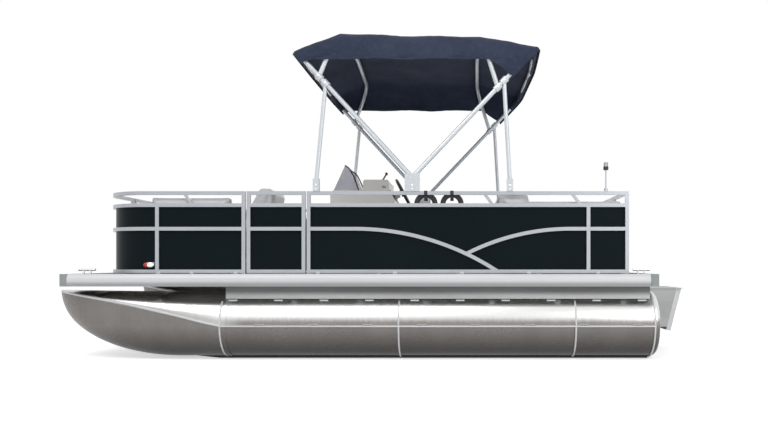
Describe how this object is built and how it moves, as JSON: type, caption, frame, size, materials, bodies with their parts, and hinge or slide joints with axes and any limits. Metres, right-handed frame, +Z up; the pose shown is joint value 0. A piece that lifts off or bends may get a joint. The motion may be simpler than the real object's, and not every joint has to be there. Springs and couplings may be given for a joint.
{
  "type": "pontoon boat",
  "caption": "Open pontoon boat: twin round logs under a flat deck, fenced cockpit with gates, lounge seats, helm console, folding sun canopy and a stern motor bracket.",
  "frame": {"origin": "centre of the bounding box at the level of the keels' bottoms", "axes": "+X towards the bow, +Y to port, +Z up"},
  "size_m": [5.77, 2.44, 2.9718],
  "materials": {
    "log_aluminium": "polished",
    "frame_aluminium": "satin",
    "edge_aluminium": "satin",
    "corner_plastic": "matt",
    "deck_covering": "textured",
    "panel_paint": "gloss",
    "vinyl": "soft",
    "base_plastic": "smooth",
    "console_plastic": "smooth",
    "screen": "tinted",
    "black_plastic": "matt",
    "canvas": "woven",
    "fitting_chrome": "polished",
    "ring_rubber": "matt",
    "plate_paint": "satin"
  },
  "bodies": {
    "hull": {"log_port": "log_aluminium", "log_starboard": "log_aluminium", "riser_port": "log_aluminium", "riser_starboard": "log_aluminium", "cross_beams": "frame_aluminium", "deck_board": "deck_covering", "deck_edges": "edge_aluminium", "deck_corners": "corner_plastic", "motor_pod": "log_aluminium", "motor_plate": "plate_paint", "motor_bracket": "frame_aluminium", "fence_port_bow": "frame_aluminium", "fence_port_aft": "frame_aluminium", "fence_starboard": "frame_aluminium", "fence_stern": "frame_aluminium", "panels_port": "panel_paint", "panels_starboard": "panel_paint", "panel_stern": "panel_paint", "gate_hinges": "frame_aluminium", "bow_bases": "base_plastic", "bow_cushions": "vinyl", "bow_backs": "vinyl", "chaise_back": "vinyl", "stern_bases": "base_plastic", "stern_cushions": "vinyl", "stern_backs": "vinyl", "console": "console_plastic", "windscreen": "screen", "throttle": "black_plastic", "seat_pedestal": "frame_aluminium", "bow_front": "frame_aluminium", "bow_rear": "frame_aluminium", "bow_front_short": "frame_aluminium", "bow_rear_short": "frame_aluminium", "bow_collars": "frame_aluminium", "bow_sockets": "frame_aluminium", "struts": "frame_aluminium", "canopy": "canvas", "cleats": "fitting_chrome", "side_lights": "fitting_chrome", "stern_light": "black_plastic", "rail_rings": "ring_rubber"},
    "side_gate": {"side_gate_frame": "frame_aluminium", "side_gate_panel": "panel_paint"},
    "bow_gate": {"bow_gate_frame": "frame_aluminium", "bow_gate_panel": "panel_paint"},
    "steering": {"steering_wheel": "black_plastic"},
    "helm_seat": {"seat_swivel": "frame_aluminium", "seat_cushion": "vinyl", "seat_back": "vinyl"}
  },
  "joints": [
    {"name": "side_gate_swing", "type": "hinge", "parent": "hull", "child": "side_gate", "pos_m": [1.164, 1.0965, 1.1], "axis": [0, 0, 1], "range_deg": [0, 90]},
    {"name": "bow_gate_swing", "type": "hinge", "parent": "hull", "child": "bow_gate", "pos_m": [2.4465, -0.36, 1.1], "axis": [0, 0, 1], "range_deg": [0, 90]},
    {"name": "steering_turn", "type": "hinge", "parent": "hull", "child": "steering", "pos_m": [-0.06712, -0.755, 1.64306], "axis": [-0.8829, 0, 0.4695], "range_deg": [-540, 540]},
    {"name": "helm_seat_swivel", "type": "hinge", "parent": "hull", "child": "helm_seat", "pos_m": [-0.76, -0.62, 1.02], "axis": [0, 0, 1], "continuous": true}
  ]
}
